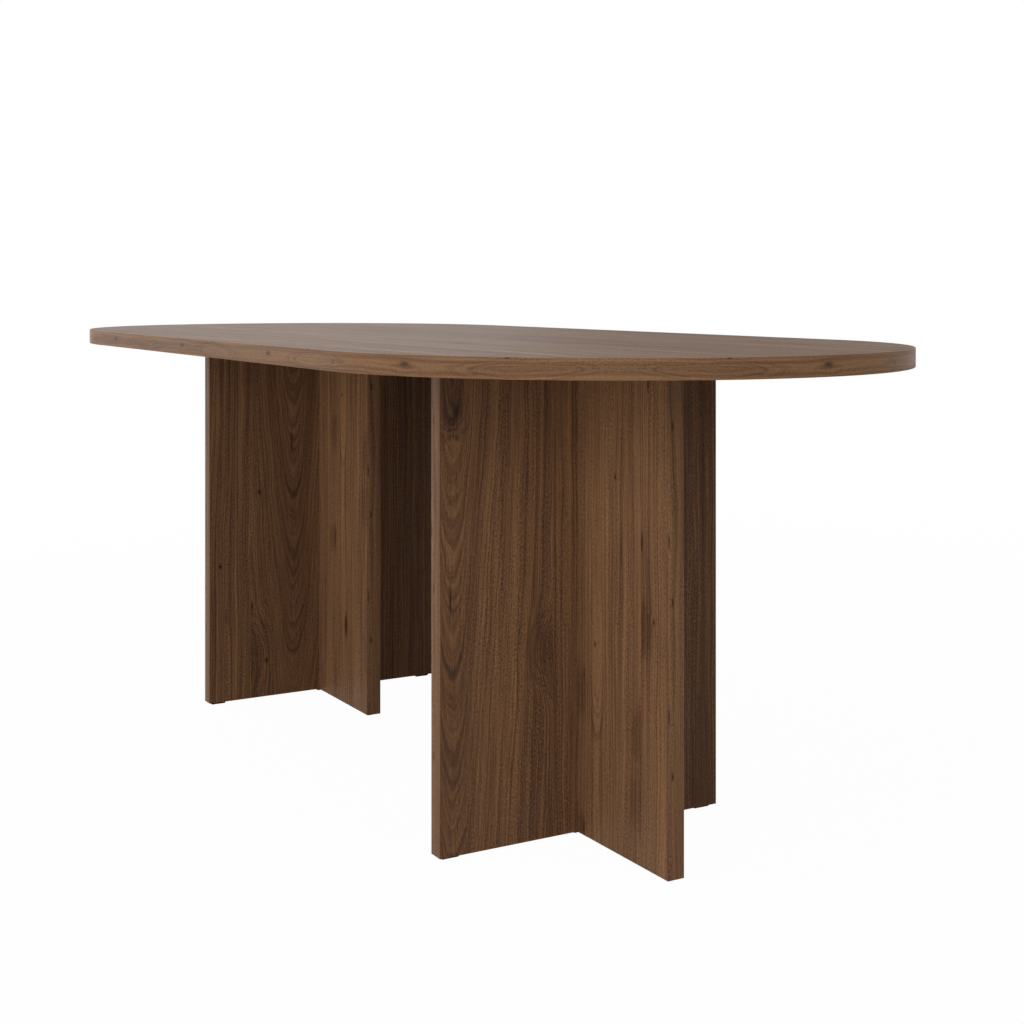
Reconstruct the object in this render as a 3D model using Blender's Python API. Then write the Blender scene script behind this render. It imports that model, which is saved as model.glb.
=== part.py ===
"""Dining table with a racetrack top on two cross-shaped pedestals, of walnut-decor chipboard.

The table is a flat pack. Each pedestal is a cross panel with a wing butted to each face: dowels line
the wings up, and double-ended bolts through the cross panel are drawn tight by cam locks in the wings.
The top carries screw-in bolts, which cam locks near the top edges of the panels pull down.
Sizes are in metres. +Z is up, +X runs along the table, and the origin is on the floor below its middle.
"""

import math

import bmesh
import bpy
from mathutils import Matrix, Vector

# Top
TABLE_HEIGHT = 0.750
TOP_LENGTH = 2.040
TOP_WIDTH = 0.900
TOP_THICKNESS = 0.028
TOP_BAND_THICKNESS = 0.002

# Pedestals
PEDESTAL_SPACING = 0.996
CROSS_PANEL_WIDTH = 0.500
WING_SPAN = 0.500
PANEL_THICKNESS = 0.028
PANEL_BAND_THICKNESS = 0.001

# Foot pads
FOOT_LENGTH = 0.028
FOOT_WIDTH = 0.010
FOOT_HEIGHT = 0.005
FOOT_CHAMFER = 0.001
FOOT_PIN_DIAMETER = 0.004
FOOT_PIN_LENGTH = 0.012
FOOT_PIN_SPACING = 0.016
CROSS_FOOT_INSET = 0.008
WING_FOOT_INSET = 0.016

# Cam locks and the bolts that they hold
CAM_DIAMETER = 0.015
CAM_BELOW_BOLT = 0.005
CAM_DISTANCE = 0.034
CAM_DRIVE_LENGTH = 0.008
CAM_DRIVE_WIDTH = 0.0014
CAM_DRIVE_DEPTH = 0.003
BOLT_DIAMETER = 0.007
BOLT_NECK_DIAMETER = 0.004
BOLT_NECK_LENGTH = 0.008
BOLT_HEAD_DIAMETER = 0.006
BOLT_HEAD_LENGTH = 0.003
THREAD_DIAMETER = 0.005
THREAD_LENGTH = 0.011

# Places of the fasteners
WING_BOLT_END_DISTANCE = 0.110
WING_DOWEL_STEP = 0.096
CROSS_TOP_BOLT_OFFSET = 0.170
WING_TOP_BOLT_OFFSET = 0.140

# Dowels
DOWEL_DIAMETER = 0.008
DOWEL_REACH = 0.030
DOWEL_CHAMFER = 0.001

# Gap between pieces that touch, and facets of round shapes
CLEARANCE = 0.0003
END_FACETS = 48
CAM_FACETS = 16
BOLT_FACETS = 10
DOWEL_FACETS = 12
PIN_FACETS = 8

# Heights that follow from the sizes above
TOP_UNDERSIDE = TABLE_HEIGHT - TOP_THICKNESS
PANEL_TOP = TOP_UNDERSIDE - CLEARANCE
PANEL_BOTTOM = FOOT_HEIGHT + CLEARANCE
CAM_DEPTH = PANEL_THICKNESS / 2 + CAM_BELOW_BOLT
TOP_CAM_HEIGHT = PANEL_TOP - CAM_DISTANCE
WING_BOLT_HEIGHTS = (PANEL_BOTTOM + WING_BOLT_END_DISTANCE, PANEL_TOP - WING_BOLT_END_DISTANCE)
WING_DOWEL_HEIGHTS = (WING_BOLT_HEIGHTS[0] + WING_DOWEL_STEP, WING_BOLT_HEIGHTS[1] - WING_DOWEL_STEP)

# Distances from a pedestal's middle
WING_ROOT = PANEL_THICKNESS / 2 + CLEARANCE
WING_END = WING_SPAN / 2 - PANEL_BAND_THICKNESS - CLEARANCE
CROSS_END = CROSS_PANEL_WIDTH / 2 - PANEL_BAND_THICKNESS - CLEARANCE
WING_CAM_OFFSET = WING_ROOT + CAM_DISTANCE
CROSS_FOOT_OFFSET = CROSS_PANEL_WIDTH / 2 - CROSS_FOOT_INSET - FOOT_LENGTH / 2
WING_FOOT_OFFSET = WING_SPAN / 2 - WING_FOOT_INSET - FOOT_LENGTH / 2

X_AXIS = Vector((1, 0, 0))
Y_AXIS = Vector((0, 1, 0))
Z_AXIS = Vector((0, 0, 1))


def material(name, colour, roughness, metallic=0.0):
    """A plain finish for one kind of piece."""
    finish = bpy.data.materials.new(name)
    finish.use_nodes = True
    shader = finish.node_tree.nodes["Principled BSDF"]
    shader.inputs["Base Color"].default_value = (*colour, 1.0)
    shader.inputs["Roughness"].default_value = roughness
    shader.inputs["Metallic"].default_value = metallic
    finish.diffuse_color = (*colour, 1.0)
    return finish


def add_box(bm, low, high):
    """Add a closed box between two corners."""
    low = Vector(low)
    high = Vector(high)
    size = Matrix.Diagonal((*(high - low), 1.0))
    bmesh.ops.create_cube(bm, size=1.0, matrix=Matrix.Translation((low + high) / 2) @ size)


def add_rod(bm, start, end, diameter, facets):
    """Add a closed round rod between two points."""
    start = Vector(start)
    along = Vector(end) - start
    turn = Z_AXIS.rotation_difference(along).to_matrix().to_4x4()
    position = Matrix.Translation(start + along / 2) @ turn
    bmesh.ops.create_cone(
        bm,
        cap_ends=True,
        segments=facets,
        radius1=diameter / 2,
        radius2=diameter / 2,
        depth=along.length,
        matrix=position,
    )


def add_rings(bm, rings, closed=False):
    """Add a solid through matching rings of points, capped at both ends or joined end to end."""
    loops = [[bm.verts.new(point) for point in ring] for ring in rings]
    followers = loops[1:] + loops[:1] if closed else loops[1:]
    for loop, follower in zip(loops, followers):
        for i in range(len(loop)):
            j = (i + 1) % len(loop)
            bm.faces.new((loop[i], loop[j], follower[j], follower[i]))
    if not closed:
        bm.faces.new(loops[0])
        bm.faces.new(loops[-1])


def finished_mesh(name, bm):
    """Turn the built faces outward and keep them as a mesh."""
    bmesh.ops.recalc_face_normals(bm, faces=bm.faces)
    mesh = bpy.data.meshes.new(name)
    bm.to_mesh(mesh)
    bm.free()
    return mesh


def combined(mesh, tools, operation="DIFFERENCE"):
    """The mesh after each tool mesh in turn is cut out of it, or joined to it."""
    blank = bpy.data.objects.new(mesh.name, mesh)
    bpy.context.collection.objects.link(blank)
    helpers = []
    for tool in tools:
        helper = bpy.data.objects.new(tool.name, tool)
        helper.hide_render = True
        helper.display_type = "WIRE"
        bpy.context.collection.objects.link(helper)
        helpers.append(helper)
        step = blank.modifiers.new(tool.name, "BOOLEAN")
        step.operation = operation
        step.solver = "EXACT"
        step.object = helper
    shaped = blank.evaluated_get(bpy.context.evaluated_depsgraph_get())
    result = bpy.data.meshes.new_from_object(shaped)
    result.name = mesh.name
    for leftover in [blank, *helpers]:
        bpy.data.objects.remove(leftover)
    return result


def place(name, mesh, finish, parent=None, location=(0, 0, 0), turn=None):
    """Put one named piece of the table in its place."""
    mesh.shade_smooth()
    mesh.set_sharp_from_angle(angle=math.radians(30))
    if finish.name not in mesh.materials:
        mesh.materials.append(finish)
    piece = bpy.data.objects.new(name, mesh)
    bpy.context.collection.objects.link(piece)
    piece.parent = parent
    piece.location = location
    if turn is not None:
        piece.rotation_euler = turn.to_euler()
    return piece


def facing(outward, toward):
    """The turn that points a cam lock's face outward and its throat toward the joint."""
    return Matrix((toward, outward.cross(toward), outward)).transposed()


def yaw(degrees):
    """A turn about the upright axis."""
    return Matrix.Rotation(math.radians(degrees), 3, "Z")


def racetrack(inset, height):
    """The outline of the top, a given distance inside its edge: two half circles and two straights."""
    radius = TOP_WIDTH / 2 - inset
    middle = TOP_LENGTH / 2 - TOP_WIDTH / 2
    points = []
    for end, first in ((1, -math.pi / 2), (-1, math.pi / 2)):
        for i in range(END_FACETS + 1):
            angle = first + math.pi * i / END_FACETS
            across = radius * math.sin(angle)
            points.append((end * middle + radius * math.cos(angle), across, height))
    return points


def top_board_mesh():
    """The board of the top, with a blind hole in its underside for each bolt."""
    inset = TOP_BAND_THICKNESS + CLEARANCE
    board = bmesh.new()
    add_rings(board, [racetrack(inset, TOP_UNDERSIDE), racetrack(inset, TABLE_HEIGHT)])
    holes = bmesh.new()
    offsets = [side * CROSS_TOP_BOLT_OFFSET * Y_AXIS for side in (-1, 1)]
    offsets += [side * WING_TOP_BOLT_OFFSET * X_AXIS for side in (-1, 1)]
    for side in (-1, 1):
        middle = Vector((side * PEDESTAL_SPACING / 2, 0, TOP_UNDERSIDE))
        for offset in offsets:
            mouth = middle + offset - CLEARANCE * Z_AXIS
            bottom = middle + offset + (THREAD_LENGTH + CLEARANCE) * Z_AXIS
            add_rod(holes, mouth, bottom, THREAD_DIAMETER + 2 * CLEARANCE, BOLT_FACETS)
    return combined(finished_mesh("top_board", board), [finished_mesh("bolt_holes", holes)])


def top_band_mesh():
    """The band round the edge of the top, as thick as the board is high."""
    band = bmesh.new()
    corners = [
        racetrack(0, TOP_UNDERSIDE),
        racetrack(0, TABLE_HEIGHT),
        racetrack(TOP_BAND_THICKNESS, TABLE_HEIGHT),
        racetrack(TOP_BAND_THICKNESS, TOP_UNDERSIDE),
    ]
    add_rings(band, corners, closed=True)
    return finished_mesh("top_band", band)


def add_foot_holes(bm, middle, along):
    """Add the two holes for a foot pad's pins, in the bottom edge of a panel."""
    for side in (-1, 1):
        spot = middle + side * FOOT_PIN_SPACING / 2 * along
        mouth = spot + FOOT_HEIGHT * Z_AXIS
        bottom = mouth + (FOOT_PIN_LENGTH + CLEARANCE) * Z_AXIS
        add_rod(bm, mouth, bottom, FOOT_PIN_DIAMETER + 2 * CLEARANCE, PIN_FACETS)


def add_cam_bore(bm, face_point, outward):
    """Add the round pocket for a cam lock, sunk in from a panel's face."""
    mouth = face_point + CLEARANCE * outward
    bottom = face_point - (CAM_DEPTH + CLEARANCE) * outward
    add_rod(bm, mouth, bottom, CAM_DIAMETER + 2 * CLEARANCE, CAM_FACETS)


def add_bolt_bore(bm, mouth, inward):
    """Add the bore for a bolt, from a panel's edge to the middle of its cam lock."""
    start = mouth - CLEARANCE * inward
    end = mouth + CAM_DISTANCE * inward
    add_rod(bm, start, end, BOLT_DIAMETER + 2 * CLEARANCE, BOLT_FACETS)


def cross_panel_mesh():
    """The panel across the table: drilled through for the wings' bolts and dowels, and bored for the top."""
    half = PANEL_THICKNESS / 2
    panel = bmesh.new()
    add_box(panel, (-half, -CROSS_END, PANEL_BOTTOM), (half, CROSS_END, PANEL_TOP))
    pockets = bmesh.new()
    drillings = bmesh.new()
    through = WING_ROOT * X_AXIS
    for height in WING_BOLT_HEIGHTS:
        level = height * Z_AXIS
        add_rod(drillings, level - through, level + through, BOLT_DIAMETER + 2 * CLEARANCE, BOLT_FACETS)
    for height in WING_DOWEL_HEIGHTS:
        level = height * Z_AXIS
        add_rod(drillings, level - through, level + through, DOWEL_DIAMETER + 2 * CLEARANCE, DOWEL_FACETS)
    for side in (-1, 1):
        spot = side * CROSS_TOP_BOLT_OFFSET * Y_AXIS
        add_cam_bore(pockets, spot + TOP_CAM_HEIGHT * Z_AXIS - half * X_AXIS, -X_AXIS)
        add_bolt_bore(drillings, spot + PANEL_TOP * Z_AXIS, -Z_AXIS)
    for offset in (-CROSS_FOOT_OFFSET, 0.0, CROSS_FOOT_OFFSET):
        add_foot_holes(drillings, offset * Y_AXIS, Y_AXIS)
    tools = [finished_mesh("cam_pockets", pockets), finished_mesh("drillings", drillings)]
    return combined(finished_mesh("cross_panel", panel), tools)


def wing_mesh(side):
    """A wing along the table, on the side of the cross panel that the sign gives."""
    half = PANEL_THICKNESS / 2
    near, far = sorted((side * WING_ROOT, side * WING_END))
    panel = bmesh.new()
    add_box(panel, (near, -half, PANEL_BOTTOM), (far, half, PANEL_TOP))
    pockets = bmesh.new()
    drillings = bmesh.new()
    away = side * X_AXIS
    root = WING_ROOT * away
    for height in WING_BOLT_HEIGHTS:
        level = height * Z_AXIS
        add_cam_bore(pockets, WING_CAM_OFFSET * away + level + half * Y_AXIS, Y_AXIS)
        add_bolt_bore(drillings, root + level, away)
    for height in WING_DOWEL_HEIGHTS:
        mouth = root - CLEARANCE * away + height * Z_AXIS
        bottom = root + (DOWEL_REACH + CLEARANCE) * away + height * Z_AXIS
        add_rod(drillings, mouth, bottom, DOWEL_DIAMETER + 2 * CLEARANCE, DOWEL_FACETS)
    spot = WING_TOP_BOLT_OFFSET * away
    add_cam_bore(pockets, spot + TOP_CAM_HEIGHT * Z_AXIS + half * Y_AXIS, Y_AXIS)
    add_bolt_bore(drillings, spot + PANEL_TOP * Z_AXIS, -Z_AXIS)
    add_foot_holes(drillings, WING_FOOT_OFFSET * away, X_AXIS)
    tools = [finished_mesh("cam_pockets", pockets), finished_mesh("drillings", drillings)]
    return combined(finished_mesh("wing", panel), tools)


def panel_band_mesh():
    """The band on a panel's upright edge, lying along X with its outer face at the origin."""
    half = PANEL_THICKNESS / 2
    band = bmesh.new()
    add_box(band, (-PANEL_BAND_THICKNESS, -half, PANEL_BOTTOM), (0, half, PANEL_TOP))
    return finished_mesh("panel_band", band)


def foot_mesh():
    """A foot pad along X, with its lower edges chamfered and two moulded pins on top."""
    slab = bmesh.new()
    rings = []
    for shrink, height in ((FOOT_CHAMFER, 0), (0, FOOT_CHAMFER), (0, FOOT_HEIGHT)):
        x = FOOT_LENGTH / 2 - shrink
        y = FOOT_WIDTH / 2 - shrink
        rings.append([(-x, -y, height), (x, -y, height), (x, y, height), (-x, y, height)])
    add_rings(slab, rings)
    pins = bmesh.new()
    for side in (-1, 1):
        spot = side * FOOT_PIN_SPACING / 2 * X_AXIS
        base = spot + FOOT_HEIGHT / 2 * Z_AXIS
        tip = spot + (FOOT_HEIGHT + FOOT_PIN_LENGTH) * Z_AXIS
        add_rod(pins, base, tip, FOOT_PIN_DIAMETER, PIN_FACETS)
    return combined(finished_mesh("foot", slab), [finished_mesh("foot_pins", pins)], "UNION")


def turned_mesh(name, profile, facets):
    """A solid turned about Z from radii and heights, listed from its lower end to its upper end."""
    rings = []
    for radius, height in profile:
        ring = []
        for i in range(facets):
            angle = 2 * math.pi * i / facets
            ring.append((radius * math.cos(angle), radius * math.sin(angle), height))
        rings.append(ring)
    body = bmesh.new()
    add_rings(body, rings)
    return finished_mesh(name, body)


def bolt_end():
    """The radii and heights of a bolt's head and neck, from the middle of its head up to its shank."""
    head_end = BOLT_HEAD_LENGTH / 2
    neck_end = head_end + BOLT_NECK_LENGTH
    return [
        (BOLT_HEAD_DIAMETER / 2, -head_end),
        (BOLT_HEAD_DIAMETER / 2, head_end),
        (BOLT_NECK_DIAMETER / 2, head_end),
        (BOLT_NECK_DIAMETER / 2, neck_end),
        (BOLT_DIAMETER / 2, neck_end),
    ]


def top_bolt_mesh():
    """A bolt that screws up into the top, with the middle of its head at the origin."""
    profile = bolt_end() + [
        (BOLT_DIAMETER / 2, CAM_DISTANCE),
        (THREAD_DIAMETER / 2, CAM_DISTANCE),
        (THREAD_DIAMETER / 2, CAM_DISTANCE + CLEARANCE + THREAD_LENGTH),
    ]
    return turned_mesh("top_bolt", profile, BOLT_FACETS)


def wing_bolt_mesh():
    """A double-ended bolt that runs through the cross panel, with its middle at the origin."""
    lower = [(radius, height - WING_CAM_OFFSET) for radius, height in bolt_end()]
    upper = [(radius, -height) for radius, height in reversed(lower)]
    return turned_mesh("wing_bolt", lower + upper, BOLT_FACETS)


def dowel_mesh():
    """A dowel with chamfered ends, with its middle at the origin."""
    radius = DOWEL_DIAMETER / 2
    end = WING_ROOT + DOWEL_REACH
    profile = [
        (radius - DOWEL_CHAMFER, -end),
        (radius, DOWEL_CHAMFER - end),
        (radius, end - DOWEL_CHAMFER),
        (radius - DOWEL_CHAMFER, end),
    ]
    return turned_mesh("wing_dowel", profile, DOWEL_FACETS)


def cam_mesh():
    """A cam lock with its face at the origin, facing +Z, and its throat toward +X.

    The bolt's head goes in by the wide mouth at -X. The half slit lets the bolt's neck pass round
    as the cam is turned, until the head is behind the narrow throat.
    """
    body = bmesh.new()
    add_rod(body, (0, 0, -CAM_DEPTH), (0, 0, 0), CAM_DIAMETER, CAM_FACETS)
    axis_level = -PANEL_THICKNESS / 2
    neck = BOLT_NECK_DIAMETER / 2 + CLEARANCE
    head = BOLT_HEAD_DIAMETER / 2 + CLEARANCE
    head_end = BOLT_HEAD_LENGTH / 2 + CLEARANCE
    slit = bmesh.new()
    add_box(slit, (-CAM_DIAMETER, -neck, axis_level - neck), (CAM_DIAMETER, CAM_DIAMETER, axis_level + neck))
    mouth = bmesh.new()
    add_box(mouth, (-CAM_DIAMETER, -head, axis_level - head), (head_end, head, axis_level + head))
    drives = []
    long = CAM_DRIVE_LENGTH / 2
    wide = CAM_DRIVE_WIDTH / 2
    for x, y in ((long, wide), (wide, long)):
        drive = bmesh.new()
        add_box(drive, (-x, -y, -CAM_DRIVE_DEPTH), (x, y, CLEARANCE))
        drives.append(finished_mesh("cam_drive", drive))
    tools = [finished_mesh("cam_slit", slit), finished_mesh("cam_mouth", mouth), *drives]
    return combined(finished_mesh("cam_lock", body), tools)


for leftover in list(bpy.data.objects):
    bpy.data.objects.remove(leftover)

board_finish = material("walnut_decor_board", (0.110, 0.062, 0.036), 0.45)
band_finish = material("walnut_decor_band", (0.150, 0.084, 0.046), 0.45)
foot_finish = material("black_plastic", (0.015, 0.014, 0.013), 0.55)
zinc_finish = material("zinc_casting", (0.55, 0.55, 0.56), 0.40, 1.0)
steel_finish = material("zinc_plated_steel", (0.62, 0.61, 0.58), 0.30, 1.0)
dowel_finish = material("beech", (0.55, 0.38, 0.22), 0.60)

place("tabletop_board", top_board_mesh(), board_finish)
place("tabletop_edge_band", top_band_mesh(), band_finish)

cross_panel = cross_panel_mesh()
wings = {side: wing_mesh(side) for side in (-1, 1)}
panel_band = panel_band_mesh()
foot = foot_mesh()
cam = cam_mesh()
top_bolt = top_bolt_mesh()
wing_bolt = wing_bolt_mesh()
dowel = dowel_mesh()
along_x = Matrix.Rotation(math.radians(90), 3, "Y")
bolt_levels = tuple(zip(("lower", "upper"), WING_BOLT_HEIGHTS))
dowel_levels = tuple(zip(("lower", "upper"), WING_DOWEL_HEIGHTS))

for pedestal_side, pedestal in ((-1, "left"), (1, "right")):
    middle = bpy.data.objects.new(f"{pedestal}_pedestal", None)
    bpy.context.collection.objects.link(middle)
    middle.location = pedestal_side * PEDESTAL_SPACING / 2 * X_AXIS

    place(f"{pedestal}_cross_panel", cross_panel, board_finish, middle)
    place(f"{pedestal}_cross_middle_foot", foot, foot_finish, middle, turn=yaw(90))
    for side, end in ((-1, "front"), (1, "rear")):
        label = f"{pedestal}_cross_{end}"
        outward = side * Y_AXIS
        turn = yaw(90 * side)
        place(f"{label}_edge_band", panel_band, band_finish, middle, CROSS_PANEL_WIDTH / 2 * outward, turn)
        place(f"{label}_foot", foot, foot_finish, middle, CROSS_FOOT_OFFSET * outward, turn)
        spot = CROSS_TOP_BOLT_OFFSET * outward + TOP_CAM_HEIGHT * Z_AXIS
        face = spot - PANEL_THICKNESS / 2 * X_AXIS
        place(f"{label}_top_bolt", top_bolt, steel_finish, middle, spot)
        place(f"{label}_top_cam", cam, zinc_finish, middle, face, facing(-X_AXIS, Z_AXIS))

    for level, height in bolt_levels:
        name = f"{pedestal}_wing_{level}_bolt"
        place(name, wing_bolt, steel_finish, middle, height * Z_AXIS, along_x)
    for level, height in dowel_levels:
        name = f"{pedestal}_wing_{level}_dowel"
        place(name, dowel, dowel_finish, middle, height * Z_AXIS, along_x)

    for side in (-1, 1):
        position = "outer" if side == pedestal_side else "inner"
        label = f"{pedestal}_{position}_wing"
        outward = side * X_AXIS
        turn = yaw(0 if side > 0 else 180)
        face = PANEL_THICKNESS / 2 * Y_AXIS
        place(label, wings[side], board_finish, middle)
        place(f"{label}_edge_band", panel_band, band_finish, middle, WING_SPAN / 2 * outward, turn)
        place(f"{label}_foot", foot, foot_finish, middle, WING_FOOT_OFFSET * outward, turn)
        for level, height in bolt_levels:
            spot = WING_CAM_OFFSET * outward + height * Z_AXIS + face
            place(f"{label}_{level}_cam", cam, zinc_finish, middle, spot, facing(Y_AXIS, -outward))
        spot = WING_TOP_BOLT_OFFSET * outward + TOP_CAM_HEIGHT * Z_AXIS
        place(f"{label}_top_bolt", top_bolt, steel_finish, middle, spot)
        place(f"{label}_top_cam", cam, zinc_finish, middle, spot + face, facing(Y_AXIS, Z_AXIS))
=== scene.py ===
import math

import bmesh
import bpy
from mathutils import Color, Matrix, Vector


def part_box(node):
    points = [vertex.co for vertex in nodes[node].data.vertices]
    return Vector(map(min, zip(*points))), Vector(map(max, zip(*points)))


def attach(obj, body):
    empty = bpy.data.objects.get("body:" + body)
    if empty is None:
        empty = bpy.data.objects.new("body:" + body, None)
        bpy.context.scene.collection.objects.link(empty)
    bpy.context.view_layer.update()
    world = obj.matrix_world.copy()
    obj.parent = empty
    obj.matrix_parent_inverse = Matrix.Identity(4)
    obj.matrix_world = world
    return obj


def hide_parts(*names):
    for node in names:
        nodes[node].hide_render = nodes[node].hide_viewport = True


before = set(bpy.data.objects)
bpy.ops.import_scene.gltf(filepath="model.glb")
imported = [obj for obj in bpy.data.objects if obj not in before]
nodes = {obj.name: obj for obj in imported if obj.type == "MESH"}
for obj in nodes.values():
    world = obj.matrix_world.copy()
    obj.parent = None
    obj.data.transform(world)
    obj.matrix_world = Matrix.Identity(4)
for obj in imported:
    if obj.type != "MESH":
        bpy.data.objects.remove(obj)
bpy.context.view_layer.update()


# Cross panels: the two wide boards that stand across the table, 28 mm chipboard with a printed
# walnut decor pressed on both faces under melamine. They are sawn upright out of decor sheets and
# drilled for the wing bolts and dowels, the cam locks and the pins of the foot pads.
class Field:
    """One output socket in a material's nodes. Sums on it are written as on a number."""

    def __init__(self, tree, socket):
        self.tree = tree
        self.socket = socket

    def node(self, kind, settings=None, inputs=None, output=0):
        """Adds a node: its settings first, a ramp's stops among them, then its socket values or links."""
        made = self.tree.nodes.new(kind)
        for name, setting in (settings or {}).items():
            if name == "stops":
                made.color_ramp.elements.remove(made.color_ramp.elements[1])
                for number, (place, colour) in enumerate(setting):
                    stop = made.color_ramp.elements.new(place) if number else made.color_ramp.elements[0]
                    stop.position = place
                    stop.color = colour
            else:
                setattr(made, name, setting)
        for key, given in (inputs or {}).items():
            if isinstance(given, Field):
                self.tree.links.new(given.socket, made.inputs[key])
            else:
                made.inputs[key].default_value = given
        return Field(self.tree, made.outputs[output] if made.outputs else None)

    def math(self, operation, first, second=0.0):
        return self.node("ShaderNodeMath", {"operation": operation}, {0: first, 1: second})

    def split(self):
        """The three parts of a vector."""
        first = self.node("ShaderNodeSeparateXYZ", inputs={"Vector": self})
        return [Field(self.tree, part) for part in first.socket.node.outputs]

    def __add__(self, other):
        return self.math("ADD", self, other)

    def __radd__(self, other):
        return self.math("ADD", other, self)

    def __sub__(self, other):
        return self.math("SUBTRACT", self, other)

    def __rsub__(self, other):
        return self.math("SUBTRACT", other, self)

    def __mul__(self, other):
        return self.math("MULTIPLY", self, other)

    def __rmul__(self, other):
        return self.math("MULTIPLY", other, self)

    def __truediv__(self, other):
        return self.math("DIVIDE", self, other)

    def __rtruediv__(self, other):
        return self.math("DIVIDE", other, self)

    def __abs__(self):
        return self.math("ABSOLUTE", self)

    def __gt__(self, other):
        return self.math("GREATER_THAN", self, other)

    def __lt__(self, other):
        return self.math("LESS_THAN", self, other)


def paint(red, green, blue):
    """An sRGB colour of 0 to 255 as the linear colour that shaders take."""
    shown = Color((red / 255, green / 255, blue / 255))
    return (*shown.from_srgb_to_scene_linear(), 1.0)


def start_material(name):
    """A new material, and the field of each point's place on the table in metres."""
    material = bpy.data.materials.new(name)
    material.use_nodes = True
    material.node_tree.nodes.clear()
    place = Field(material.node_tree, None).node("ShaderNodeTexCoord", output="Object")
    return material, place


def close_material(colour, roughness, height, relief, **constants):
    """Ends a material in a Principled BSDF with that colour, roughness and surface height.

    Relief is the depth in metres of a height of 1. Constants are set on the shader's own sockets."""
    bump = height.node("ShaderNodeBump", inputs={"Height": height, "Strength": 1.0, "Distance": relief})
    inputs = {"Base Color": colour, "Roughness": roughness, "Normal": bump, **constants}
    shader = colour.node("ShaderNodeBsdfPrincipled", inputs=inputs)
    colour.node("ShaderNodeOutputMaterial", inputs={"Surface": shader})


# A Mix node's colour sockets come after those that it has for numbers and vectors.
MIX_FIRST = 6
MIX_SECOND = 7
MIX_RESULT = 2


def mix_colour(share, first, second, way="MIX"):
    """Takes the first colour to the second by a share from 0 to 1."""
    return share.node("ShaderNodeMix", {"data_type": "RGBA", "blend_type": way},
                      {"Factor": share, MIX_FIRST: first, MIX_SECOND: second}, output=MIX_RESULT)


def clamp(value, low=0.0, high=1.0):
    return value.node("ShaderNodeClamp", inputs={"Value": value, "Min": low, "Max": high})


def sheet_place(along, across):
    """A place on a decor sheet, in metres along and across its grain."""
    return along.node("ShaderNodeCombineXYZ", inputs={"X": along, "Y": across})


SEED_STEP = (7.31, 3.17)
LACUNARITY = 2.13


def noise(place, sheet_seed, seed, long, wide, detail=1.0, **other):
    """Noise from about -1 to 1 on a sheet, in patches of about that length and width in metres.

    A sheet has a seed and so has each layer on it. A layer's other values aren't used here."""
    shift = [(sheet_seed + seed) * step for step in SEED_STEP]
    stretched = place.node("ShaderNodeVectorMath", {"operation": "MULTIPLY_ADD"},
                           {0: place, 1: (1 / long, 1 / wide, 0.0), 2: (*shift, 0.0)})
    return place.node("ShaderNodeTexNoise", {"noise_dimensions": "2D", "normalize": False},
                      {"Vector": stretched, "Scale": 1.0, "Detail": detail, "Lacunarity": LACUNARITY})


def layered(place, sheet_seed, layers):
    """The sum of a few layers of noise, each by its weight."""
    first, *others = [noise(place, sheet_seed, **layer) * layer["weight"] for layer in layers]
    return sum(others, first)


# Further than any sheet reaches, in metres.
PAST_SHEET = 9.0


def ellipse(place, along, across, long, wide, endless=False, **other):
    """1 at a point of a sheet, falling softly to 0 at half of that length and width.

    An endless one doesn't fall past its point, along the sheet. A mark's other values aren't used here."""
    if endless:
        furthest = (along, PAST_SHEET, PAST_SHEET)
        place = place.node("ShaderNodeVectorMath", {"operation": "MINIMUM"}, {0: place, 1: furthest})
    scale = (2 / long, 2 / wide, 0.0)
    shift = (-along * scale[0], -across * scale[1], 0.0)
    reach = place.node("ShaderNodeVectorMath", {"operation": "MULTIPLY_ADD"}, {0: place, 1: scale, 2: shift})
    reach = reach.node("ShaderNodeVectorMath", {"operation": "LENGTH"}, {0: reach}, output="Value")
    return reach.node("ShaderNodeMapRange", {"interpolation_type": "SMOOTHSTEP"},
                      {"Value": reach, "To Min": 1.0, "To Max": 0.0})


# The colours of the print, and the tones from 0 to 1 at which they stand.
WALNUT = {
    "deep": paint(63, 46, 36),
    "dark": paint(86, 61, 45),
    "mid": paint(108, 77, 54),
    "pale": paint(129, 94, 65),
    "gold": paint(149, 109, 74),
    "knot": paint(38, 26, 22),
}
WALNUT_TONES = [(0.0, "deep"), (0.3, "dark"), (0.5, "mid"), (0.72, "pale"), (1.0, "gold")]
MIDDLE_TONE = 0.5

# Layers of the print. Drift and ripple move the figure across and along, by a weight in metres.
# The layers of grain, speckle and veins weigh on the tone.
DRIFT = [
    dict(seed=0, long=0.45, wide=0.07, weight=0.006),
    dict(seed=1, long=0.10, wide=0.02, weight=0.0016),
]
RIPPLE = [
    dict(seed=2, long=0.05, wide=0.012, weight=0.004),
    dict(seed=13, long=0.07, wide=0.03, weight=0.012),
]
RING_GRAIN = [
    dict(seed=3, long=0.9, wide=0.045, weight=0.10),
    dict(seed=4, long=0.6, wide=0.010, weight=0.11),
    dict(seed=5, long=0.80, wide=0.0032, weight=0.25),
]
LONG_FIBRE = dict(seed=6, long=0.10, wide=0.0018, weight=0.13)
SHORT_FIBRE = dict(seed=7, long=0.014, wide=0.0022, weight=0.07)
SPECKLE = dict(seed=11, long=0.0040, wide=0.0016, weight=0.32, detail=0.0)
SPECKLE_ZONE = dict(seed=10, long=0.30, wide=0.028, weight=0.9, middle=0.75, least=0.4)
CALM_SHARE = 0.55
VEIN = dict(seed=12, long=0.5, wide=0.014, weight=0.07, detail=0.0, thin=9.0)
PORES = dict(seed=9, long=0.008, wide=0.0005, detail=0.0, spread=2.0, cut=0.5, ink=0.3, roughness=0.15)

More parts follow.
